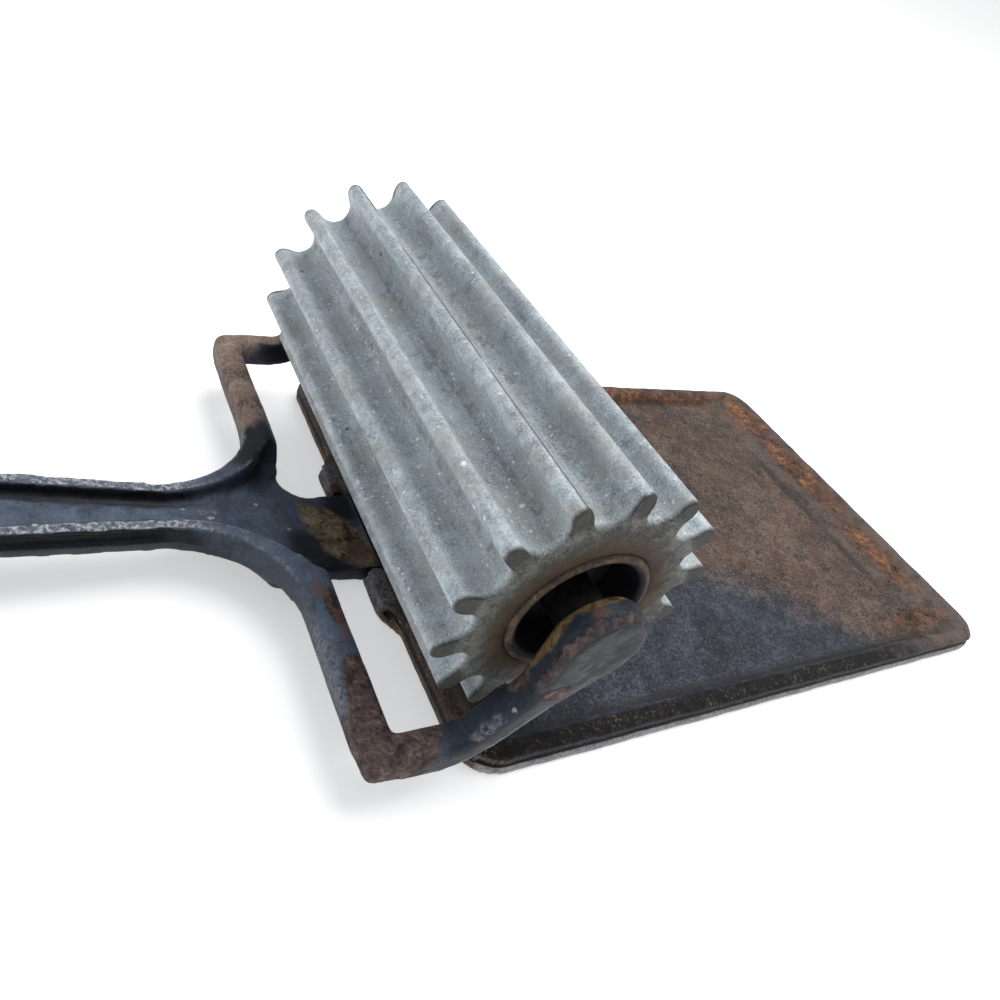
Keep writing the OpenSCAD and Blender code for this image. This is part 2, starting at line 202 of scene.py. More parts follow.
def makeRubGroup():        # bare metal on the edges that hands and tables rub
    tree, given, out = newGroup("rubbed edge", {"Where": "Vector", "Start": "Float", "Full": "Float",
                                                "Loose": "Float", "Grain": "Float"},
                                {"Mask": "Float", "HollowDirtAndShade": "Float"})
    edge = readAttribute(tree, "edge")
    speck = noiseOf(tree, given["Where"], given["Grain"], 6.0, 0.7)
    rubbed = strayed(tree, edge, speck, given["Loose"])
    tree.links.new(remap(tree, rubbed, given["Start"], given["Full"]), out["Mask"])
    # a second mask for the hollows, for dirt and painted shade
    tree.links.new(remap(tree, times(tree, edge, -1.0), 0.02, 0.3), out["HollowDirtAndShade"])
    return tree


def makeRustGroup():        # three tones of rust in blotches, with its height
    tree, given, out = newGroup("rust", {"Where": "Vector", "Size": "Float", "Dark": "Color", "Middle": "Color",
                                         "Light": "Color"}, {"Colour": "Color", "Height": "Float"})
    broad = noiseOf(tree, given["Where"], calc(tree, "DIVIDE", 1.0, given["Size"]), 7.0, 0.66, 0.4)
    fine = cloud(tree, given["Where"], 0.7, 4.0, 0.65)
    mixed = weighed(tree, (broad, 0.62), (fine, 0.38))
    colour = mixColour(tree, remap(tree, mixed, 0.40, 0.51), given["Dark"], given["Middle"])
    tree.links.new(laid(tree, colour, given["Light"], remap(tree, mixed, 0.50, 0.61)), out["Colour"])
    tree.links.new(mixed, out["Height"])
    return tree


def makeFleckGroup():        # scattered specks, chips or pits with ragged outlines
    tree, given, out = newGroup("flecks", {"Where": "Vector", "Size": "Float", "Share": "Float", "Reach": "Float"},
                                {"Mask": "Float"})
    where, reach = given["Where"], given["Reach"]
    scale = calc(tree, "DIVIDE", 1.0, given["Size"])
    cells = newNode(tree, "ShaderNodeTexVoronoi", {"Vector": where, "Scale": scale, "Randomness": 1.0}).outputs
    draw = newNode(tree, "ShaderNodeSeparateColor", {"Color": cells["Color"]}).outputs[0]
    chosen = calc(tree, "GREATER_THAN", draw, inverted(tree, given["Share"]))
    ragged = noiseOf(tree, where, times(tree, scale, 4.0), 3.0, 0.5)
    far = strayed(tree, cells["Distance"], ragged, times(tree, reach, 3.2))
    spot = remap(tree, far, times(tree, reach, 0.5), reach, (1.0, 0.0), "LINEAR")
    tree.links.new(times(tree, spot, chosen), out["Mask"])
    return tree


patchGroup = makePatchGroup()
rubGroup = makeRubGroup()
rustGroup = makeRustGroup()
fleckGroup = makeFleckGroup()


def patches(tree, where, kind):        # several patches as one mask
    mask = 0.0
    for centre, reach in kind["places"]:
        one = placeGroup(tree, patchGroup, Where=where, Centre=Vector(centre) * mm, Reach=Vector(reach) * mm,
                         Ragged=kind["ragged"], Grain=kind["grain"], Soft=kind["soft"])["Mask"]
        mask = strongest(tree, mask, one)
    return mask


def rusty(tree, where, look):
    return placeGroup(tree, rustGroup, Where=where, Size=look["size"] * mm, Dark=(*look["dark"], 1.0),
                      Middle=(*look["middle"], 1.0), Light=(*look["light"], 1.0))


def flecks(tree, where, size, share, reach):
    return placeGroup(tree, fleckGroup, Where=where, Size=size * mm, Share=share, Reach=reach)["Mask"]


def newMaterial(name):
    material = bpy.data.materials.new(name)
    material.use_nodes = True
    tree = material.node_tree
    tree.nodes.clear()
    shader = tree.nodes.new("ShaderNodeBsdfPrincipled")
    tree.links.new(shader.outputs["BSDF"], tree.nodes.new("ShaderNodeOutputMaterial").inputs["Surface"])
    where = tree.nodes.new("ShaderNodeTexCoord").outputs["Object"]
    return material, tree, shader, where


def finishSurface(tree, shader, look, colour, rough, height):
    tree.links.new(colour, shader.inputs["Base Color"])
    tree.links.new(rough, shader.inputs["Roughness"])
    shader.inputs["Specular IOR Level"].default_value = look["specular"]
    bump = newNode(tree, "ShaderNodeBump", {"Height": height, "Distance": look["bumpDepth"] * mm, "Strength": 1.0})
    tree.links.new(bump.outputs["Normal"], shader.inputs["Normal"])


# In the looks below, sizes, places, reaches and depths are in mm.
# A patch has a ragged edge of some grain (waves in a metre) and softness; a fleck has a size, a share and a reach.

# Roller zinc: dull grey with bright flecks, grimy valleys with painted shade on one flank, a painted shadow line
# beside the crests on top, and a rust stain round the bore

zincLook = {
    "dark": (0.225, 0.252, 0.262),
    "mid": (0.440, 0.494, 0.528),
    "light": (0.640, 0.708, 0.752),
    "warm": (0.400, 0.375, 0.345),
    # grime for the valleys, with painted shade on one flank
    "valleyStainAndShade": (0.125, 0.137, 0.122),
    "fleck": (0.88, 0.92, 0.95),
    "pit": (0.060, 0.060, 0.055),
    "seam": (0.085, 0.095, 0.100),        # painted shadow line beside the crests on top
    "endGrey": (0.046, 0.044, 0.038),
    "endLight": (0.165, 0.170, 0.160),
    "endRust": (0.070, 0.043, 0.023),
    "metallic": 0.25,
    "specular": 0.35,
    "roughness": (0.66, 0.48),
    "bumpDepth": 0.20,
    "grainSize": 0.32,
    "mottleSize": 2.4,
    "broadSize": 13.0,
    "fineFlecks": (0.8, 0.30, 0.30),
    "flecks": [(1.9, 0.12, 0.16), (5.5, 0.18, 0.10)],
    "pits": (5.0, 0.16, 0.10),
    "scratches": (0.8, 0.24, 0.19),
    "scratchLeans": (-0.9, 0.0, 0.7),        # each kind of scratch leans its own way
}


def makeZinc(look, axis, boreRadius, halfLength):
    material, tree, shader, where = newMaterial("roller zinc")
    x, y, z = inMillimetres(tree, vectorCalc(tree, "SUBTRACT", where, axis))
    bore, end = boreRadius / mm, halfLength / mm
    grain = cloud(tree, where, look["grainSize"], 3.0, 0.7)
    mottle = cloud(tree, where, look["mottleSize"], 7.0, 0.68, 0.4)
    broad = cloud(tree, where, look["broadSize"], 3.0, 0.5)
    along = cloud(tree, vectorCalc(tree, "MULTIPLY", where, (1.0, 0.10, 1.0)), 1.0, 4.0, 0.6)
    tone = weighed(tree, (grain, 0.38), (mottle, 0.36), (along, 0.12), (broad, 0.14))
    colour = tones(tree, tone, [(0.40, look["dark"]), (0.50, look["mid"]), (0.60, look["light"])])
    tint = remap(tree, cloud(tree, where, 9.0, 4.0, 0.6), 0.46, 0.64)
    colour = laid(tree, colour, look["warm"], tint, 0.45)
    # grime in the valleys, with painted shade making it heavier on one flank, and a painted shadow line beside the
    # crests on top
    valley, across = readAttribute(tree, "valley"), readAttribute(tree, "across")
    colour = laid(tree, colour, look["valleyStainAndShade"], remap(tree, valley, 0.30, 0.95), remap(tree, mottle, 0.42, 0.64),
                  remap(tree, across, -0.8, 0.8, (0.30, 0.75)))
    # painted shadow: a dark line beside the crests on top, where each ridge hides the next valley
    onTop = times(tree, remap(tree, z, 11, 17), remap(tree, x, -19, -14))
    shadeLineLength = remap(tree, cloud(tree, where, 11.0, 2.0), 0.30, 0.50)
    seam = times(tree, remap(tree, across, -0.195, -0.155), remap(tree, across, -0.080, -0.115),
                 remap(tree, valley, 0.05, 0.08), shadeLineLength, onTop)
    colour = laid(tree, colour, look["seam"], seam, 0.75)
    # bright flecks, the fine ones in clouds, then short scratches, and a few dark pits anywhere
    crowd = remap(tree, cloud(tree, where, 7.0, 3.0), 0.46, 0.60)
    fleck = strongest(tree, times(tree, flecks(tree, where, *look["fineFlecks"]), crowd),
                      *(flecks(tree, where, *kind) for kind in look["flecks"]))
    scuffed = remap(tree, mottle, 0.42, 0.56)
    for lean in look["scratchLeans"]:
        leaning = turned(tree, where, (1.0, lean, 0.0), (0.0, 0.24, 0.0), (0.0, lean, 1.0))
        fleck = strongest(tree, fleck, times(tree, flecks(tree, leaning, *look["scratches"]), scuffed, 0.8))
    colour = laid(tree, colour, look["fleck"], fleck, 0.8)
    colour = laid(tree, colour, look["pit"], flecks(tree, where, *look["pits"]), 0.85)
    # the ends: a worn pale lip, then a darker cut face with a brown ring round the bore
    fromMiddle = calc(tree, "ABSOLUTE", y)
    colour = laid(tree, colour, look["light"], remap(tree, fromMiddle, end - 2.6, end - 0.7),
                  remap(tree, valley, 0.35, 0.8), remap(tree, grain, 0.36, 0.58), 0.5)
    out = strayed(tree, vectorCalc(tree, "LENGTH", joined(tree, x, 0.0, z)), mottle, 6.0)
    outer = times(tree, remap(tree, out, bore + 1.5, bore + 6.5), remap(tree, out, 19.6, 18.2))
    endShare = times(tree, remap(tree, tone, 0.40, 0.56), mixValue(tree, outer, 0.12, 1.0))
    endColour = mixColour(tree, endShare, look["endGrey"], look["endLight"])
    endColour = laid(tree, endColour, look["endRust"], remap(tree, out, bore + 4.6, bore + 0.4), 0.9)
    onEnd = remap(tree, strayed(tree, fromMiddle, mottle, 1.2), end - 1.1, end - 0.1)
    colour = laid(tree, colour, endColour, onEnd)
    shader.inputs["Metallic"].default_value = look["metallic"]
    rough = calc(tree, "ADD", remap(tree, tone, 0.38, 0.62, look["roughness"]), times(tree, onEnd, 0.15))
    height = weighed(tree, (grain, 0.45), (mottle, 1.2), (along, 0.35), (seam, -0.6))
    finishSurface(tree, shader, look, colour, rough, height)
    return material


# Yoke japan: black varnish over iron, dusty with a painted sky sheen on top, rubbed on its crests and rusted
# through at the fork's corners

japanLook = {
    "varnish": (0.0038, 0.0046, 0.0074),
    # dust colour, also a painted sky sheen on faces that look up
    "dustSheenColour": (0.0720, 0.0920, 0.1290),
    "rubbed": (0.215, 0.224, 0.256),
    "bright": (0.520, 0.530, 0.565),
    "chip": (0.33, 0.33, 0.335),
    "lip": (0.048, 0.050, 0.060),
    "specular": 0.15,
    "roughness": (0.34, 0.54),
    "bareRoughness": 0.78,
    "bumpDepth": 0.22,
    "grainSize": 0.6,
    "mottleSize": 3.6,
    "broadSize": 16.0,
    "crumbSize": 0.75,
    # rust on the far bend: pale mauve and tan
    "farRust": {"size": 6.0, "dark": (0.100, 0.066, 0.056), "middle": (0.240, 0.170, 0.138),
                "light": (0.360, 0.275, 0.225)},
    "farPatches": {"ragged": 0.9, "grain": 210.0, "soft": 0.25, "places": [
        ((-93.5, 37.0, 12.5), (5.5, 13.0, 6.0)),
        ((-89.0, 48.0, 14.0), (8.0, 4.0, 4.0)),
        ((-94.5, 24.5, 13.0), (3.5, 5.0, 4.0))]},
    # rust on the near corner and the near arm: dark brown scale
    "nearRust": {"size": 2.0, "dark": (0.030, 0.020, 0.020), "middle": (0.086, 0.058, 0.054),
                 "light": (0.170, 0.122, 0.110)},
    "nearPatches": {"ragged": 0.8, "grain": 420.0, "soft": 0.10, "places": [
        ((-90.0, -46.0, 11.5), (6.9, 6.8, 6.5)),
        ((-92.0, -38.5, 12.5), (2.6, 6.0, 3.0)),
        ((-91.6, -24.0, 13.2), (1.6, 3.4, 1.4)),
        ((-74.4, -47.0, 22.6), (2.0, 1.6, 2.6)),
        ((-70.2, -51.3, 23.4), (2.5, 1.5, 1.7))]},        # the last is a scab on the arm's lower edge
    # tan rust inside the near eye's edge, and a few red spots
    "tanRust": {"size": 2.5, "dark": (0.050, 0.027, 0.012), "middle": (0.140, 0.092, 0.042),
                "light": (0.230, 0.170, 0.095)},
    "tanPatches": {"ragged": 0.6, "grain": 420.0, "soft": 0.2, "places": [
        ((-72.6, -46.4, 30.5), (3.2, 2.0, 6.0)),
        ((-68.0, -46.3, 37.6), (5.0, 1.6, 2.6))]},
    "redRust": (0.120, 0.064, 0.050),
    "redPatches": {"ragged": 0.7, "grain": 700.0, "soft": 0.4, "places": [
        ((-68.9, -48.7, 38.0), (1.3, 0.8, 1.2)),
        ((-93.2, -20.5, 13.4), (1.2, 1.8, 0.9)),
        ((-91.4, -27.5, 13.2), (0.8, 3.0, 1.0)),
        ((-79.0, -6.0, 4.3), (2.0, 2.6, 1.2))]},
    # olive wear slanting over the tongue, its place measured across and along the wear
    "tongueRust": {"size": 4.0, "dark": (0.026, 0.020, 0.013), "middle": (0.170, 0.128, 0.078),
                   "light": (0.330, 0.262, 0.168)},
    "tongueAxes": ((0.88, 0.48, 0.0), (0.48, -0.88, 0.0), (0.0, 0.0, 1.0)),
    "tonguePatches": {"ragged": 0.5, "grain": 330.0, "soft": 0.16, "places": [
        ((-72.6, -38.5, 4.4), (4.4, 9.2, 3.0))]},
    # painted shade: spots under the roller and on the shaded inner sides of the hub and far arm
    "shadePatches": {"ragged": 0.7, "grain": 180.0, "soft": 0.4, "places": [
        ((-95.0, 15.0, 12.0), (6.0, 7.0, 8.0)),
        ((-80.0, 47.0, 18.0), (7.0, 5.0, 12.0)),
        ((-82.0, -8.0, 4.0), (9.0, 4.0, 4.0)),
        ((-78.0, 6.0, 4.4), (4.5, 4.5, 3.0)),
        ((-88.0, -4.5, 5.0), (5.0, 4.0, 3.0))]},
    "wornPatches": {"ragged": 0.9, "grain": 420.0, "soft": 0.4, "places": [
        ((-79.8, -50.7, 14.8), (1.3, 1.0, 0.9)),
        ((-78.4, -50.5, 16.2), (1.5, 1.0, 1.0)),
        ((-76.9, -50.3, 17.8), (1.2, 0.9, 0.8)),
        ((-95.6, -34.0, 12.0), (1.8, 10.0, 3.0)),
        ((-105.5, 0.6, 10.0), (1.6, 0.9, 1.0))]},
    "chipPatches": {"ragged": 2.6, "grain": 2400.0, "soft": 0.15, "places": [
        ((-109.3, 1.2, 10.0), (0.55, 0.3, 1.0)),
        ((-105.2, -0.8, 10.0), (0.6, 0.3, 1.0)),
        ((-112.0, -2.0, 10.0), (0.5, 0.3, 1.0)),
        ((-96.0, 4.5, 7.4), (0.4, 0.35, 0.8)),
        ((-91.0, -0.6, 5.8), (0.4, 0.35, 0.8)),
        ((-75.5, -50.5, 19.9), (0.45, 0.4, 0.35))]},
    "chipFlecks": (3.5, 0.08, 0.06),
    # flat outside of the near eye, with scratches drawn out along the arm
    "facetPatches": {"ragged": 0.5, "grain": 300.0, "soft": 0.2, "places": [
        ((-66.5, -51.3, 31.0), (5.6, 0.9, 7.5))]},
    "scratchAxes": ((-0.74, 0.0, 0.67), (0.0, 1.0, 0.0), (0.0603, 0.0, 0.0666)),
}


def makeJapan(look):
    material, tree, shader, where = newMaterial("yoke japan")
    x, y, z = inMillimetres(tree, where)
    grain = cloud(tree, where, look["grainSize"], 4.0, 0.68)
    mottle = cloud(tree, where, look["mottleSize"], 6.0, 0.64, 0.3)
    broad = cloud(tree, where, look["broadSize"], 3.0, 0.5)
    crumb = cloud(tree, where, look["crumbSize"], 5.0, 0.75)
    up, aside = readAttribute(tree, "up"), readAttribute(tree, "aside")
    grip = remap(tree, x, -102, -114)        # 1 on the handle, 0 on the hub and the fork
    onArm = times(tree, remap(tree, x, -86, -82), remap(tree, z, 8, 10))
    # faces that look up are dusty and carry a painted blue sky sheen, the handle's sides stay black
    dustAndSheen = remap(tree, strayed(tree, up, mottle, 0.9), mixValue(tree, grip, -0.9, 0.42), 1.0)
    dustAndSheen = times(tree, dustAndSheen, mixValue(tree, grip, mixValue(tree, onArm, 0.98, 0.32), 1.0))
    # painted shade takes the sheen off the shaded spots
    paintedShade = patches(tree, where, look["shadePatches"])
    dustAndSheen = times(tree, dustAndSheen, inverted(tree, times(tree, paintedShade, 0.88)))
    colour = mixColour(tree, dustAndSheen, look["varnish"], look["dustSheenColour"])
    depth = remap(tree, weighed(tree, (grain, 0.35), (mottle, 0.40), (broad, 0.25)), 0.38, 0.62, (0.65, 1.40))
    colour = mixColour(tree, 1.0, colour, joined(tree, depth, depth, depth), "MULTIPLY")
    # crests that the hand and the table rub: broad and crumbly on the handle, a thin broken line on the fork
    rub = placeGroup(tree, rubGroup, Where=where, Start=mixValue(tree, grip, 0.50, 0.16),
                     Full=mixValue(tree, grip, 1.20, 0.60), Grain=1000.0, Loose=0.9)
    # dirt and painted shade: the handle's hollows are painted black
    colour = laid(tree, colour, look["varnish"], rub["HollowDirtAndShade"], grip, 0.9)
    rubTone = mixColour(tree, remap(tree, crumb, 0.46, 0.62), look["rubbed"], look["bright"])
    crest = times(tree, remap(tree, z, 9.2, 10.6), remap(tree, up, -0.2, 0.4), remap(tree, aside, -0.75, -0.35))
    broken = mixValue(tree, grip, remap(tree, mottle, 0.42, 0.62, (0.05, 0.75)), 1.0)
    rubbed = times(tree, rub["Mask"], crest, remap(tree, crumb, 0.34, 0.52), broken)
    colour = laid(tree, colour, rubTone, rubbed, 0.9)
    # below the near crest a black ledge of painted shade under the crest, then the smooth grey lip of the handle's
    # underside
    level = calc(tree, "MULTIPLY_ADD", calc(tree, "ADD", x, 122), 0.085, z)        # the handle rises to its end
    level = strayed(tree, level, mottle, 1.6)
    colour = laid(tree, colour, look["lip"], grip, remap(tree, level, 10.7, 10.3),
                  remap(tree, aside, -0.35, -0.75), remap(tree, mottle, 0.34, 0.60, (0.5, 1.0)))
    # painted shade: up-facing faces just below the near crest stay black
    colour = laid(tree, colour, look["varnish"], grip, remap(tree, level, 12.5, 12.0),
                  remap(tree, y, -4.3, -4.8), remap(tree, up, 0.2, 0.6), 0.9)
    worn = patches(tree, where, look["wornPatches"])
    colour = laid(tree, colour, look["rubbed"], worn, remap(tree, crumb, 0.40, 0.60), 0.6)
    # the near eye's outside is dark, with fine scratches
    drawn = cloud(tree, turned(tree, where, *look["scratchAxes"]), 0.5, 3.0, 0.6, 0.6)
    facet = times(tree, patches(tree, where, look["facetPatches"]), remap(tree, aside, -0.90, -0.97))
    colour = laid(tree, colour, look["varnish"], facet, 0.75)
    colour = laid(tree, colour, look["bright"], facet, remap(tree, drawn, 0.62, 0.70), 0.16)
    # a pale line along the near arm's lower edge, on its downward faces
    paleLowerEdge = placeGroup(tree, rubGroup, Where=where, Start=0.25, Full=0.7, Grain=1400.0, Loose=0.5)["Mask"]
    colour = laid(tree, colour, look["bright"], paleLowerEdge, remap(tree, y, -49.6, -50.5),
                  remap(tree, x, -83, -80), remap(tree, up, -0.02, -0.16), remap(tree, up, -0.62, -0.45), 0.8)
    # rust: olive on the tongue, pale on the far bend with black under it, dark scale on the near corner and arm
    tongue = patches(tree, turned(tree, where, *look["tongueAxes"]), look["tonguePatches"])
    tongueRust = rusty(tree, where, look["tongueRust"])
    colour = laid(tree, colour, tongueRust["Colour"], tongue, remap(tree, up, 0.35, 0.75))
    farRust = rusty(tree, where, look["farRust"])
    farShade = times(tree, remap(tree, aside, -0.15, -0.6), remap(tree, x, -89, -85))
    far = times(tree, patches(tree, where, look["farPatches"]),
                remap(tree, calc(tree, "MULTIPLY_ADD", mottle, 0.6, up), -0.15, 0.65), inverted(tree, farShade))
    colour = laid(tree, colour, farRust["Colour"], far)
    nearRust = rusty(tree, where, look["nearRust"])
    flake = strayed(tree, y, cloud(tree, where, 1.5, 5.0, 0.7), 4.0)
    climbing = times(tree, remap(tree, flake, -49.6, -49.9), remap(tree, aside, -0.94, -0.82),
                     remap(tree, z, 23, 26), remap(tree, x, -79, -76), 0.66)        # along the eye's outer edge
    near = strongest(tree, patches(tree, where, look["nearPatches"]), climbing)
    colour = laid(tree, colour, nearRust["Colour"], near)
    tanRust = rusty(tree, where, look["tanRust"])
    colour = laid(tree, colour, tanRust["Colour"], patches(tree, where, look["tanPatches"]))
    colour = laid(tree, colour, look["redRust"], patches(tree, where, look["redPatches"]), 0.7)
    chips = strongest(tree, patches(tree, where, look["chipPatches"]),
                      times(tree, flecks(tree, where, *look["chipFlecks"]), 0.7))
    colour = laid(tree, colour, look["chip"], chips, 0.85)
    bare = strongest(tree, far, near, times(tree, rubbed, 0.8))
    rough = mixValue(tree, bare, remap(tree, mottle, 0.35, 0.65, look["roughness"]), look["bareRoughness"])
    height = weighed(tree, (grain, 0.40), (mottle, 0.8), (times(tree, near, nearRust["Height"]), 1.6), (near, 0.35),
                     (times(tree, far, farRust["Height"]), 0.9), (times(tree, rubbed, crumb), 0.9), (chips, -0.5))
    finishSurface(tree, shader, look, colour, rough, height)
    return material


# Plate iron: brown skin with speckle, a painted blue-grey sky reflection on the near side, orange rust along the
# free end and a black near rim

plateLook = {
    "deep": (0.026, 0.018, 0.015),
    "brown": (0.092, 0.062, 0.050),
    "pale": (0.190, 0.138, 0.112),
    "red": (0.130, 0.066, 0.042),
    # blue-grey tones of the painted sky reflection on the near side; the darkest is also the creases' colour
    "coolDeep": (0.012, 0.014, 0.020),
    "skySheen": (0.040, 0.046, 0.061),
    "skySheenPale": (0.100, 0.110, 0.130),
    "edgeGrey": (0.118, 0.108, 0.104),
    "rimBlack": (0.005, 0.004, 0.004),
    "rimBrown": (0.022, 0.016, 0.013),
    "scuff": (0.24, 0.225, 0.21),
    # greys of the worn band below the seam, lightened as painted light
    "bandDark": (0.150, 0.145, 0.150),
    "bandPale": (0.340, 0.330, 0.332),
    # greys of the hinge ears, lightened as painted light against the roller's shadow
    "earDark": (0.070, 0.067, 0.071),
    "earPale": (0.230, 0.225, 0.232),
    "earRust": (0.050, 0.019, 0.010),
    "vivid": (0.620, 0.250, 0.090),
    "specular": 0.14,
    "roughness": (0.48, 0.74),
    "dustRoughness": 0.85,
    "bumpDepth": 0.34,
    "grainSize": 0.50,
    "mottleSize": 4.2,
    "broadSize": 28.0,
    "partLine": 1.9,        # height of the seam round the outside
    "skySheenEdge": (0.8, 12.0, 11.0),        # slant, offset and softness of the painted sky reflection's edge
    "orange": {"size": 2.2, "dark": (0.085, 0.044, 0.030), "middle": (0.180, 0.082, 0.045),
               "light": (0.400, 0.178, 0.084)},
    "orangePatches": {"ragged": 1.5, "grain": 190.0, "soft": 0.45, "places": [
        ((67.5, 36.0, 3.6), (5.4, 9.0, 3.0)),
        ((67.8, 10.0, 3.6), (4.6, 19.0, 3.0)),
        ((66.6, -22.0, 3.6), (3.6, 13.0, 3.0)),
        ((5.0, 47.0, 3.6), (68.0, 2.8, 3.0)),
        ((60.0, -41.5, 3.0), (10.0, 3.0, 3.0))]},
    "vividPatches": {"ragged": 1.2, "grain": 260.0, "soft": 0.5, "places": [
        ((67.0, 39.0, 3.6), (2.6, 5.5, 3.0)),
        ((67.2, 22.0, 3.6), (1.8, 5.0, 3.0)),
        ((66.8, -17.0, 3.6), (1.6, 4.5, 3.0))]},
    "creasePatches": {"ragged": 1.8, "grain": 150.0, "soft": 0.6, "places": [
        ((57.8, 4.0, 1.9), (1.5, 15.0, 2.0)),
        ((57.6, -20.0, 1.9), (1.3, 10.0, 2.0)),
        ((20.0, -46.0, 2.0), (40.0, 0.8, 1.0))]},
    "earRustPatches": {"ragged": 0.6, "grain": 500.0, "soft": 0.3, "places": [
        ((-78.4, 10.6, 4.0), (1.7, 1.9, 2.6))]},
}


def makePlateIron(look, halfWidth):
    material, tree, shader, where = newMaterial("plate iron")
    x, y, z = inMillimetres(tree, where)
    side, seam = halfWidth / mm, look["partLine"]
    fromMiddle = calc(tree, "ABSOLUTE", y)
    grain = cloud(tree, where, look["grainSize"], 2.5, 0.65)
    mottle = cloud(tree, where, look["mottleSize"], 7.0, 0.70, 0.3)
    broad = cloud(tree, where, look["broadSize"], 3.0, 0.5)
    tone = weighed(tree, (grain, 0.50), (mottle, 0.36), (broad, 0.14))
    warm = tones(tree, tone, [(0.42, look["deep"]), (0.50, look["brown"]), (0.58, look["pale"])])
    reddened = remap(tree, cloud(tree, where, 6.0, 5.0, 0.65), 0.48, 0.64)
    warm = laid(tree, warm, look["red"], reddened, 0.4)
    # painted reflection: the near side takes blue-grey tones for the sky's sheen
    skySheen = tones(tree, tone, [(0.42, look["coolDeep"]), (0.50, look["skySheen"]), (0.60, look["skySheenPale"])])
    slant, offset, soft = look["skySheenEdge"]
    edge = strayed(tree, strayed(tree, calc(tree, "MULTIPLY_ADD", x, slant, y), mottle, 22.0), broad, 26.0)
    colour = laid(tree, warm, skySheen, remap(tree, edge, soft - offset, -soft - offset), remap(tree, y, -6, -16),
                  remap(tree, x, -73, -67))
    # slope and edge of the free end: grey, then orange dust under the rim
    colour = laid(tree, colour, look["edgeGrey"], remap(tree, x, 58.5, 61.0), remap(tree, mottle, 0.40, 0.58), 0.5)
    orange = rusty(tree, where, look["orange"])
    dusted = patches(tree, where, look["orangePatches"])
    colour = laid(tree, colour, orange["Colour"], dusted, remap(tree, mottle, 0.36, 0.58), 0.8)
    colour = laid(tree, colour, look["vivid"], patches(tree, where, look["vividPatches"]),
                  remap(tree, orange["Height"], 0.48, 0.60), 0.55)
    colour = laid(tree, colour, look["coolDeep"], patches(tree, where, look["creasePatches"]),
                  remap(tree, mottle, 0.34, 0.56), 0.7)
    up = readAttribute(tree, "up")
    rub = placeGroup(tree, rubGroup, Where=where, Start=0.12, Full=0.55, Grain=800.0, Loose=0.6)
    # dirt and painted shade darken the hollows
    colour = laid(tree, colour, look["deep"], rub["HollowDirtAndShade"], 0.45)
    colour = laid(tree, colour, look["edgeGrey"], rub["Mask"], remap(tree, up, 0.0, 0.5), 0.2)
    # near rim and the outside above the seam: black and brown with pale scuffs
    nearRim = times(tree, remap(tree, z, 3.55, 3.85), remap(tree, fromMiddle, side - 4.2, side - 3.4),
                    remap(tree, y, 0, -10), remap(tree, calc(tree, "MULTIPLY_ADD", mottle, 30.0, x), 72, 48))
    upperSide = times(tree, remap(tree, up, 0.45, 0.25), remap(tree, z, seam - 0.1, seam + 0.2))
    rimTone = mixColour(tree, remap(tree, tone, 0.44, 0.60), look["rimBlack"], look["rimBrown"])
    scuff = times(tree, remap(tree, cloud(tree, where, 0.7, 5.0, 0.78), 0.50, 0.62),
                  remap(tree, mottle, 0.42, 0.60))
    rimTone = laid(tree, rimTone, look["scuff"], scuff, 0.8)
    colour = laid(tree, colour, rimTone, strongest(tree, nearRim, upperSide), 0.95)
    # a black line of painted shade in the step just above the seam, and a grey band below it, worn pale and
    # lightened as painted light
    colour = laid(tree, colour, look["rimBlack"], upperSide, remap(tree, z, seam + 0.75, seam + 0.45), 0.95)
    # worn band below the seam, lightened as painted light
    bandTone = mixColour(tree, remap(tree, tone, 0.43, 0.58), look["bandDark"], look["bandPale"])
    colour = laid(tree, colour, bandTone, remap(tree, z, seam + 0.15, seam - 0.1), remap(tree, z, 0.05, 0.3),
                  remap(tree, fromMiddle, side - 2.5, side - 1.5))
    # the hinge ears: smooth grey, lightened as painted light where the roller shades them, with rust where the far
    # one meets the tongue
    earTone = mixColour(tree, remap(tree, tone, 0.42, 0.58), look["earDark"], look["earPale"])
    colour = laid(tree, colour, earTone, remap(tree, x, -75.6, -76.6), remap(tree, fromMiddle, 19, 17), 0.9)
    colour = laid(tree, colour, look["earRust"], patches(tree, where, look["earRustPatches"]), 0.9)
    rough = mixValue(tree, dusted, remap(tree, tone, 0.40, 0.62, look["roughness"]), look["dustRoughness"])
    height = weighed(tree, (grain, 0.55), (mottle, 1.0), (times(tree, nearRim, mottle), 2.6),
                     (times(tree, nearRim, scuff), 0.6), (times(tree, dusted, orange["Height"]), 0.8))
    finishSurface(tree, shader, look, colour, rough, height)
    return material


# Liner, bushes and pins, painted near-black as shade where they sit in the bore

linerLook = {
    "rust": {"size": 2.5, "dark": (0.026, 0.016, 0.011), "middle": (0.068, 0.045, 0.031),
             "light": (0.150, 0.104, 0.068)},
    # painted shade: near-black for the inside of the bore
    "inside": (0.007, 0.007, 0.012),
    "specular": 0.2,
    "roughness": (0.5, 0.8),
    "bumpDepth": 0.2,
}
# painted shade: the pins are near-black so they read as shade in the bore
pinLook = {
    "dark": (0.004, 0.004, 0.005),
    "light": (0.013, 0.011, 0.011),
    "specular": 0.15,
    "roughness": (0.42, 0.62),
    "bumpDepth": 0.1,
}


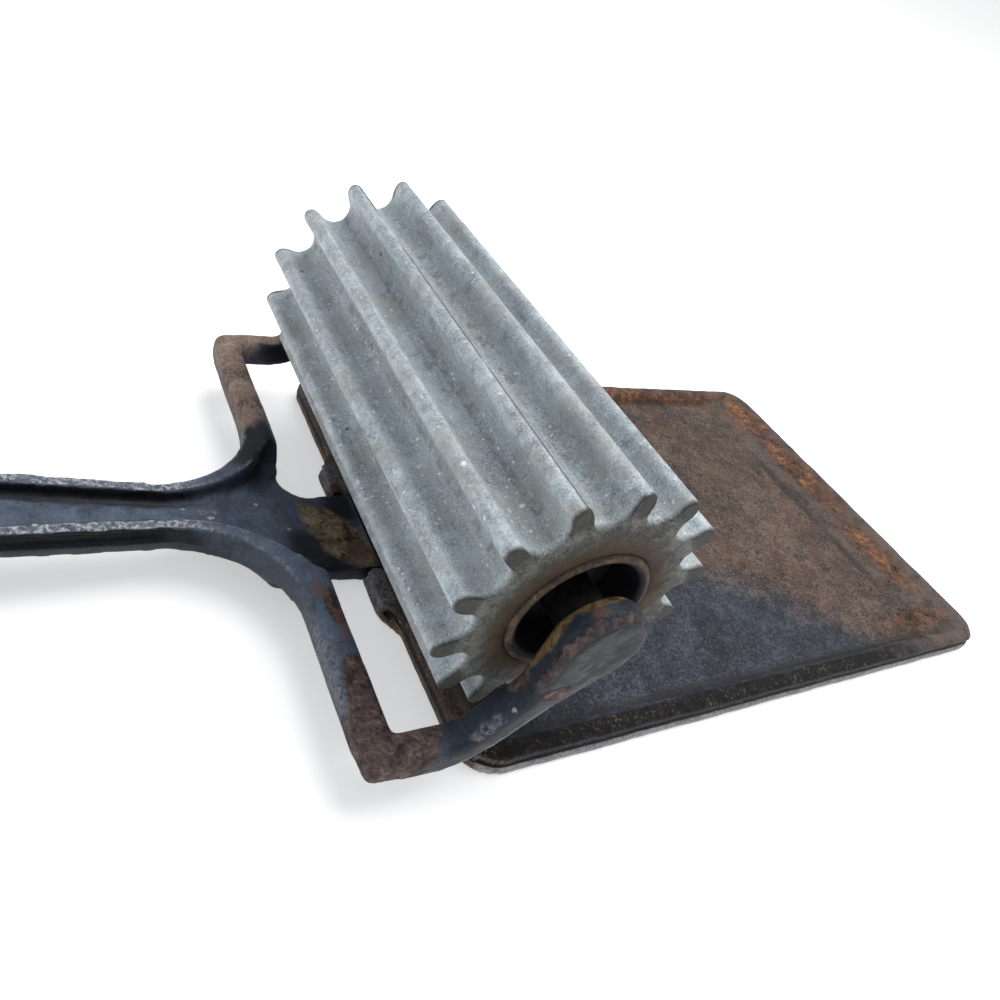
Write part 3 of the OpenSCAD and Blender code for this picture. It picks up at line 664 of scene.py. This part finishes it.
def makeLinerRustAndShade(look, axis, lipRadius, halfLength):        # rusty on its lip, painted black shade inside
    material, tree, shader, where = newMaterial("liner rust and shade")
    x, y, z = inMillimetres(tree, vectorCalc(tree, "SUBTRACT", where, axis))
    lip, end = lipRadius / mm, halfLength / mm
    rust = rusty(tree, where, look["rust"])
    deep = remap(tree, calc(tree, "ABSOLUTE", y), end + 0.4, end - 0.4)
    inner = remap(tree, vectorCalc(tree, "LENGTH", joined(tree, x, 0.0, z)), lip - 0.8, lip - 1.2)
    colour = laid(tree, rust["Colour"], look["inside"], strongest(tree, deep, inner), 0.97)
    rough = remap(tree, rust["Height"], 0.3, 0.7, look["roughness"])
    finishSurface(tree, shader, look, colour, rough, rust["Height"])
    return material


# pins painted near-black, as shade for the bore they sit in
def makePinShadeBlack(look):
    material, tree, shader, where = newMaterial("pin painted shade")
    mottle = cloud(tree, where, 1.5, 5.0, 0.6)
    colour = tones(tree, mottle, [(0.35, look["dark"]), (0.65, look["light"])])
    finishSurface(tree, shader, look, colour, remap(tree, mottle, 0.3, 0.7, look["roughness"]), mottle)
    return material


# Small helpers for meshes

def newPiece(name, data):
    piece = bpy.data.objects.new(name, data)
    scene.collection.objects.link(piece)
    return piece


def bakedMesh(holder):        # what the holder's modifiers make of it, as a plain mesh
    shape = bpy.data.meshes.new_from_object(holder.evaluated_get(bpy.context.evaluated_depsgraph_get()))
    bpy.data.objects.remove(holder)
    return shape


def arrayOf(items, field, width, kind=float):
    values = np.zeros(len(items) * width, dtype=kind)
    items.foreach_get(field, values)
    return values.reshape(-1, width)


def spreadOut(ends, values, count):        # one pass of averaging over each point's neighbours
    total = np.zeros(count)
    share = np.zeros(count)
    for a, b in ((0, 1), (1, 0)):
        np.add.at(total, ends[:, a], values[ends[:, b]])
        np.add.at(share, ends[:, a], 1.0)
    return total / np.maximum(share, 1.0)


def markEdges(mesh, passes):        # above 0 on convex edges, below 0 in hollows
    count = len(mesh.vertices)
    places = arrayOf(mesh.vertices, "co", 3)
    normals = arrayOf(mesh.vertices, "normal", 3)
    ends = arrayOf(mesh.edges, "vertices", 2, np.int32)
    step = np.linalg.norm(places[ends[:, 0]] - places[ends[:, 1]], axis=1).mean()
    around = np.stack([spreadOut(ends, places[:, i], count) for i in range(3)], axis=1)
    bend = ((places - around) * normals).sum(axis=1) / step
    for _ in range(passes):
        bend = 0.5 * bend + 0.5 * spreadOut(ends, bend, count)
    top = np.percentile(np.abs(bend), 99.0)
    mesh.attributes.new("edge", "FLOAT", "POINT").data.foreach_set("value", bend / top)


# Castings: a copy of a node's solid with softened edges and an uneven skin

yokeCasting = {
    "voxel": 0.45,
    "softenPasses": 12,
    "edgePasses": 3,
    "uneven": [(8.0, 0.14, 1.0), (1.6, 0.04, 4.0)],        # size, depth and seed of each swell
    "elbows": [(-89.8, -45.9, 7.0), (-89.8, 45.9, 4.0)],        # middle of each bend and how square it is
    "fills": [((-91.7, -13.4, 7.0), 2.0), ((-91.7, 13.4, 7.0), 2.0)],        # middle and radius, where the ribs end
}
plateCasting = {
    "voxel": 0.62,
    "softenPasses": 5,
    "edgePasses": 2,
    "uneven": [(9.0, 0.14, 2.0), (2.6, 0.10, 5.0)],
    "seam": {"level": plateLook["partLine"], "step": 0.6, "slope": 0.3, "band": 2.2},        # all round the outside
}


def roughCast(node, name, values):        # the solid again, as one even skin
    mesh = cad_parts[node].data.copy()
    mesh.materials.clear()
    weld = bmesh.new()
    weld.from_mesh(mesh)
    bmesh.ops.remove_doubles(weld, verts=weld.verts, dist=0.001 * mm)
    for middle, radius in values.get("fills", []):        # metal that runs into a sharp corner
        bmesh.ops.create_icosphere(weld, subdivisions=3, radius=radius * mm,
                                   matrix=Matrix.Translation(Vector(middle) * mm))
    weld.to_mesh(mesh)
    weld.free()
    blank = newPiece(name + "Blank", mesh)
    skin = blank.modifiers.new("skin", "REMESH")
    skin.mode = "VOXEL"
    skin.voxel_size = values["voxel"] * mm
    soften = blank.modifiers.new("soften", "SMOOTH")
    soften.factor = 0.5
    soften.iterations = values["softenPasses"]
    return bakedMesh(blank)


def squareElbows(places, elbows):        # pushes out the outside of each bend
    for middleX, middleY, power in elbows:
        arm = places[:, :2] - np.array((middleX, middleY)) * mm
        turning = (arm[:, 0] < 0) & (arm[:, 1] * middleY > 0)
        reach = np.maximum(np.linalg.norm(arm, axis=1), 1e-6)[:, None]
        push = (np.abs(arm / reach) ** power).sum(axis=1) ** (-1.0 / power) - 1.0
        places[:, :2] += arm * (push * turning)[:, None]


def swellSkin(places, normals, swells):
    for size, depth, seed in swells:
        shift = Vector((seed, 2.0 * seed, 3.0 * seed))
        lift = np.array([noise.noise(Vector(p) / (size * mm) + shift) for p in places])
        places += normals * (lift * depth * mm)[:, None]


def stepIn(places, normals, low, high, seam):        # above the mould's seam the outside is a little smaller
    middle, half = (low + high)[:2] / 2, (high - low)[:2] / 2
    nearSide = (np.abs(places[:, :2] - middle) > half - seam["band"] * mm).any(axis=1)
    inward = np.clip((places[:, 2] / mm - seam["level"]) / seam["slope"], 0.0, 1.0) * seam["step"] * mm
    places[:, :2] -= normals[:, :2] * (inward * nearSide * (normals[:, 2] < 0.5))[:, None]


def castCopy(node, name, values, material):
    shape = roughCast(node, name, values)
    places = arrayOf(shape.vertices, "co", 3)
    squareElbows(places, values.get("elbows", []))
    shape.vertices.foreach_set("co", places.ravel())
    shape.update()
    markEdges(shape, values["edgePasses"])
    normals = arrayOf(shape.vertices, "normal", 3)
    low, high = (np.array(corner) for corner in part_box(node))
    swellSkin(places, normals, values["uneven"])
    if "seam" in values:
        stepIn(places, normals, low, high, values["seam"])
    shape.vertices.foreach_set("co", np.clip(places, low, high).ravel())
    for label, axis in (("up", 2), ("aside", 1)):        # which way the skin looks
        shape.attributes.new(label, "FLOAT", "POINT").data.foreach_set("value", normals[:, axis].copy())
    shape.polygons.foreach_set("use_smooth", [True] * len(shape.polygons))
    shape.materials.append(material)
    shape.update()
    print(name, "cast:", len(shape.polygons), "faces")
    return newPiece(name, shape)


# Roller: one rule-shaped body, its ridges and valleys as arcs that run into each other

roller = {
    "ridges": 14,
    "overRidges": 22.5 * mm,
    "ridgeDepth": 5.0 * mm,
    "tipRound": 1.5 * mm,
    "firstRidge": 116.3,        # degrees from X towards Z
    "bore": 11.7 * mm,
    "endRound": 0.3 * mm,        # at the ridges' ends
    "lipRound": 1.8 * mm,        # at the valleys' ends
    "pointsPerRidge": 26,
    "tipShare": 0.32,        # share of those points on the tip's arc, then up to the end of the flank
    "flankShare": 0.44,
    "rowsAlong": 120,
    "rowsOnEnd": 6,
    "rimCrowding": 2.6,        # above 1, the rows on an end are closer at the rim
    "uneven": 0.10 * mm,
    "unevenSize": 5.0 * mm,
    "pitted": 0.05 * mm,
    "pitSize": 1.1 * mm,
}
rollerInputs = {
    "Ridges": "Int", "Columns": "Int", "Rows Along": "Int", "Rows On End": "Int", "Over Ridges": "Float",
    "Tip Round": "Float", "Valley Round": "Float", "Valley Centre": "Float", "First Ridge": "Float",
    "Bore": "Float", "Half Length": "Float", "End Round": "Float", "Lip Round": "Float", "Axis": "Vector",
    "Uneven": "Float", "Uneven Size": "Float", "Pitted": "Float", "Pit Size": "Float", "Material": "Material",
}


def ridgeOutline(tree, given, away, halfPitch):        # half a ridge: the tip's arc, the flank and the valley's arc
    tipEnd, flankEnd = roller["tipShare"], roller["flankShare"]
    tipX = calc(tree, "SUBTRACT", given["Over Ridges"], given["Tip Round"])
    valleyX = times(tree, given["Valley Centre"], calc(tree, "COSINE", halfPitch))
    valleyY = times(tree, given["Valley Centre"], calc(tree, "SINE", halfPitch))
    tipTurn = times(tree, calc(tree, "DIVIDE", away, tipEnd, clamp=True), math.pi / 2)
    flank = calc(tree, "DIVIDE", calc(tree, "SUBTRACT", away, tipEnd), flankEnd - tipEnd, clamp=True)
    valleyTurn = calc(tree, "DIVIDE", calc(tree, "SUBTRACT", away, flankEnd), 1.0 - flankEnd, clamp=True)
    valleyTurn = times(tree, valleyTurn, calc(tree, "SUBTRACT", math.pi / 2, halfPitch))
    tipPointX = calc(tree, "ADD", mixValue(tree, flank, tipX, valleyX),
                     times(tree, given["Tip Round"], calc(tree, "COSINE", tipTurn)))
    tipPointY = times(tree, given["Tip Round"], calc(tree, "SINE", tipTurn))
    valleyRound = given["Valley Round"]
    valleyPointX = calc(tree, "SUBTRACT", valleyX, times(tree, valleyRound, calc(tree, "SINE", valleyTurn)))
    valleyPointY = calc(tree, "SUBTRACT", valleyY, times(tree, valleyRound, calc(tree, "COSINE", valleyTurn)))
    onTip = calc(tree, "LESS_THAN", away, flankEnd)
    return mixValue(tree, onTip, valleyPointX, tipPointX), mixValue(tree, onTip, valleyPointY, tipPointY)


def rollerRows(tree, given, row, lastRow):        # over one end, along, over the other end, back in the bore
    rowsEnd = given["Rows On End"]
    back = calc(tree, "GREATER_THAN", row, calc(tree, "ADD", lastRow, 0.5))
    outward = calc(tree, "MINIMUM", row, calc(tree, "SUBTRACT", lastRow, row))
    outward = calc(tree, "DIVIDE", outward, rowsEnd, clamp=True)
    outward = inverted(tree, calc(tree, "POWER", inverted(tree, outward), roller["rimCrowding"]))
    outward = times(tree, outward, inverted(tree, back))
    run = calc(tree, "DIVIDE", calc(tree, "SUBTRACT", row, rowsEnd), given["Rows Along"], clamp=True)
    run = calc(tree, "SUBTRACT", times(tree, run, 2.0), 1.0)
    eased = calc(tree, "SINE", times(tree, run, math.pi / 2))        # rows are closer towards the ends
    eased = calc(tree, "ADD", times(tree, run, 0.15), times(tree, eased, 0.85))
    return outward, times(tree, mixValue(tree, back, eased, -1.0), given["Half Length"])


def makeRollerTree():
    tree, given, out = newGroup("fluted roller", rollerInputs, {"Geometry": "Geometry"}, "GeometryNodeTree")
    lastRow = calc(tree, "ADD", times(tree, given["Rows On End"], 2.0), given["Rows Along"])
    grid = newNode(tree, "GeometryNodeMeshGrid", {
        "Size X": 1.0, "Size Y": 1.0, "Vertices X": calc(tree, "ADD", given["Columns"], 1.0),
        "Vertices Y": calc(tree, "ADD", lastRow, 2.0)})
    position = tree.nodes.new("GeometryNodeInputPosition").outputs[0]
    spot = newNode(tree, "ShaderNodeSeparateXYZ", {"Vector": position}).outputs
    wayRound, wayAlong = (calc(tree, "ADD", spot[letter], 0.5) for letter in "XY")
    row = calc(tree, "ROUND", times(tree, wayAlong, calc(tree, "ADD", lastRow, 1.0)))
    # place within one ridge: 0 on its tip, 1 at the bottom of the valley
    pitches = times(tree, wayRound, given["Ridges"])
    ridge = calc(tree, "FLOOR", calc(tree, "ADD", pitches, 0.0001))
    part = calc(tree, "SUBTRACT", calc(tree, "SUBTRACT", pitches, ridge), 0.5)
    away = times(tree, calc(tree, "ABSOLUTE", part), 2.0)
    halfPitch = calc(tree, "DIVIDE", math.pi, given["Ridges"])
    localX, localY = ridgeOutline(tree, given, away, halfPitch)
    localY = times(tree, calc(tree, "SIGN", part), localY)
    # the ends are rounded over, more in the valleys than on the ridges
    outward, along = rollerRows(tree, given, row, lastRow)
    toEnd = calc(tree, "SUBTRACT", given["Half Length"], calc(tree, "ABSOLUTE", along))
    rounding = mixValue(tree, away, given["End Round"], given["Lip Round"])
    past = inverted(tree, calc(tree, "DIVIDE", toEnd, rounding, clamp=True))
    drop = inverted(tree, calc(tree, "SQRT", inverted(tree, times(tree, past, past))))
    keep = inverted(tree, calc(tree, "DIVIDE", times(tree, drop, rounding), given["Over Ridges"]))
    localX, localY = times(tree, localX, keep), times(tree, localY, keep)
    # from the ridge's own axes to the roller's
    reach = calc(tree, "SQRT", calc(tree, "ADD", times(tree, localX, localX), times(tree, localY, localY)))
    reach = mixValue(tree, outward, given["Bore"], reach)
    ridgeTurn = calc(tree, "ADD", given["First Ridge"], times(tree, ridge, times(tree, halfPitch, 2.0)))
    turn = calc(tree, "ADD", calc(tree, "ARCTAN2", localY, localX), ridgeTurn)
    place = joined(tree, times(tree, reach, calc(tree, "COSINE", turn)), along,
                   times(tree, reach, calc(tree, "SINE", turn)))
    place = vectorCalc(tree, "ADD", place, given["Axis"])
    # the cast skin only goes inwards, so the roller keeps its size
    sink = 0.0
    for depth, size in (("Uneven", "Uneven Size"), ("Pitted", "Pit Size")):
        scale = calc(tree, "DIVIDE", 1.0, given[size])
        waves = newNode(tree, "ShaderNodeTexNoise", {"Scale": scale, "Detail": 2.0}).outputs["Fac"]
        sink = calc(tree, "ADD", sink, times(tree, calc(tree, "SUBTRACT", waves, 0.95), given[depth]))
    skin = newNode(tree, "ShaderNodeVectorMath", {0: tree.nodes.new("GeometryNodeInputNormal").outputs[0],
                                                  "Scale": sink}, operation="SCALE").outputs[0]
    body = grid.outputs["Mesh"]
    for label, value in (("valley", times(tree, away, outward)), ("across", times(tree, part, 2.0))):
        body = newNode(tree, "GeometryNodeStoreNamedAttribute", {"Geometry": body, "Name": label, "Value": value},
                       data_type="FLOAT", domain="POINT").outputs[0]
    for kind, inputs in (("SetPosition", {"Position": place}), ("MergeByDistance", {"Distance": 0.002 * mm}),
                         ("FlipFaces", {}), ("SetPosition", {"Offset": skin}), ("SetShadeSmooth", {}),
                         ("RealizeInstances", {}), ("SetMaterial", {"Material": given["Material"]})):
        step = newNode(tree, "GeometryNode" + kind, inputs)
        tree.links.new(body, step.inputs[0])
        body = step.outputs[0]
    tree.links.new(body, out["Geometry"])
    return tree


def makeRoller():
    low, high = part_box("roller_shell")
    axis = (low + high) / 2
    halfLength = (high.y - low.y) / 2
    rootRadius = roller["overRidges"] - roller["ridgeDepth"]
    sine = math.sin(math.pi / roller["ridges"])
    valleyRound = (rootRadius * sine - roller["tipRound"]) / (1.0 - sine)
    material = makeZinc(zincLook, axis, roller["bore"], halfLength)
    tree = makeRollerTree()
    holder = newPiece("rollerHolder", bpy.data.meshes.new("rollerHolder"))
    shaper = holder.modifiers.new("flutes", "NODES")
    shaper.node_group = tree
    values = {
        "Ridges": roller["ridges"], "Columns": roller["ridges"] * roller["pointsPerRidge"],
        "Rows Along": roller["rowsAlong"], "Rows On End": roller["rowsOnEnd"],
        "Over Ridges": roller["overRidges"], "Tip Round": roller["tipRound"], "Valley Round": valleyRound,
        "Valley Centre": rootRadius + valleyRound, "First Ridge": math.radians(roller["firstRidge"]),
        "Bore": roller["bore"], "Half Length": halfLength, "End Round": roller["endRound"],
        "Lip Round": roller["lipRound"], "Axis": axis,
        "Uneven": roller["uneven"], "Uneven Size": roller["unevenSize"], "Pitted": roller["pitted"],
        "Pit Size": roller["pitSize"], "Material": material,
    }
    for item in tree.interface.items_tree:
        if item.in_out == "INPUT":
            shaper[item.identifier] = values[item.name]
    shape = bakedMesh(holder)
    outwards = bmesh.new()
    outwards.from_mesh(shape)
    bmesh.ops.recalc_face_normals(outwards, faces=outwards.faces)
    outwards.to_mesh(shape)
    outwards.free()
    print("roller shaped:", len(shape.polygons), "faces")
    return newPiece("flutedRoller", shape)


# The three new pieces, and better finishes for the CAD pieces that stay

def dress(node, material):
    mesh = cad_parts[node].data
    mesh.materials.clear()
    mesh.materials.append(material)


yokePiece = castCopy("yoke_handle", "yokeCasting", yokeCasting, makeJapan(japanLook))
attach(yokePiece, "yoke")
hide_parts("yoke_handle")

plateIron = makePlateIron(plateLook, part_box("base_plate")[1].y)
platePiece = castCopy("base_plate", "trayPlate", plateCasting, plateIron)
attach(platePiece, "plate")
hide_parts("base_plate")

rollerPiece = makeRoller()
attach(rollerPiece, "roller")
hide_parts("roller_shell")

tubeLow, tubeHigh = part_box("roller_tube")
linerRustAndShade = makeLinerRustAndShade(linerLook, (tubeLow + tubeHigh) / 2, (tubeHigh.z - tubeLow.z) / 2,
                          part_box("roller_shell")[1].y)
pinShadeBlack = makePinShadeBlack(pinLook)
# rust on the liner's lip, painted black shade inside the bore
for node in ("roller_tube", "bush_near", "bush_far"):
    dress(node, linerRustAndShade)
# the pins take the painted black shade
for node in ("pivot_near", "pivot_far", "hinge_pin"):
    dress(node, pinShadeBlack)
print("pieces dressed")


# Floor, light and camera

studio = {
    "floorSize": 120.0,        # metres
    "floorDrop": 0.05,        # mm below the plate's underside
    "floorColour": (0.90, 0.90, 0.90),
    "floorRoughness": 0.9,
    "floorGlow": 0.44,        # a light table, so shadows stay pale
    # the sky from the horizon up
    "sky": [(0.0, (1.06, 1.06, 1.06)), (0.16, (0.62, 0.64, 0.66)), (0.6, (0.44, 0.46, 0.48))],
    "sunFrom": (0.38, 0.18, 0.90),
    "sunStrength": 2.3,
    "sunWidth": 50.0,        # degrees across, for soft shadows
    "sunColour": (1.0, 0.99, 0.975),
}
viewer = {
    "place": (-135.30, -91.27, 102.92),        # mm
    "right": (0.8557, -0.3977, 0.3312),
    "down": (-0.0442, -0.6937, -0.7189),
    "forward": (0.5157, 0.6005, -0.6112),
    "sensor": 36.0,
    "lens": 27.72,
    "shift": (0.0401, 0.0020),
}


def makeFloor():
    half = studio["floorSize"] / 2
    corners = [(-half, -half, 0.0), (half, -half, 0.0), (half, half, 0.0), (-half, half, 0.0)]
    mesh = bpy.data.meshes.new("floor")
    mesh.from_pydata(corners, [], [(0, 1, 2, 3)])
    material, tree, shader, where = newMaterial("pale floor")
    shade = remap(tree, cloud(tree, where, 400.0, 2.0), 0.3, 0.7, (0.98, 1.0))
    colour = mixColour(tree, shade, (0.0, 0.0, 0.0), studio["floorColour"])
    tree.links.new(colour, shader.inputs["Base Color"])
    shader.inputs["Roughness"].default_value = studio["floorRoughness"]
    shader.inputs["Emission Color"].default_value = (1.0, 1.0, 1.0, 1.0)
    shader.inputs["Emission Strength"].default_value = studio["floorGlow"]
    mesh.materials.append(material)
    floor = newPiece("floor", mesh)
    floor.location.z = -studio["floorDrop"] * mm


def makeLight():
    world = bpy.data.worlds.new("studio")
    world.use_nodes = True
    tree = world.node_tree
    around = tree.nodes.new("ShaderNodeTexCoord").outputs["Generated"]
    height = newNode(tree, "ShaderNodeSeparateXYZ", {"Vector": around}).outputs["Z"]
    tree.links.new(tones(tree, height, studio["sky"]), tree.nodes["Background"].inputs["Color"])
    scene.world = world
    lamp = bpy.data.lights.new("softSun", "SUN")
    lamp.energy = studio["sunStrength"]
    lamp.angle = math.radians(studio["sunWidth"])
    lamp.color = studio["sunColour"]
    newPiece("softSun", lamp).rotation_euler = Vector(studio["sunFrom"]).to_track_quat("Z", "Y").to_euler()


def makeCamera():
    lens = bpy.data.cameras.new("camera")
    lens.sensor_width = viewer["sensor"]
    lens.lens = viewer["lens"]
    lens.shift_x, lens.shift_y = viewer["shift"]
    lens.clip_start = 1 * mm
    camera = newPiece("camera", lens)
    axes = Matrix((viewer["right"], -Vector(viewer["down"]), -Vector(viewer["forward"]))).transposed()
    camera.matrix_world = Matrix.Translation(Vector(viewer["place"]) * mm) @ axes.to_4x4()
    scene.camera = camera


makeFloor()
makeLight()
makeCamera()
scene.view_settings.view_transform = "Standard"
print("studio set")
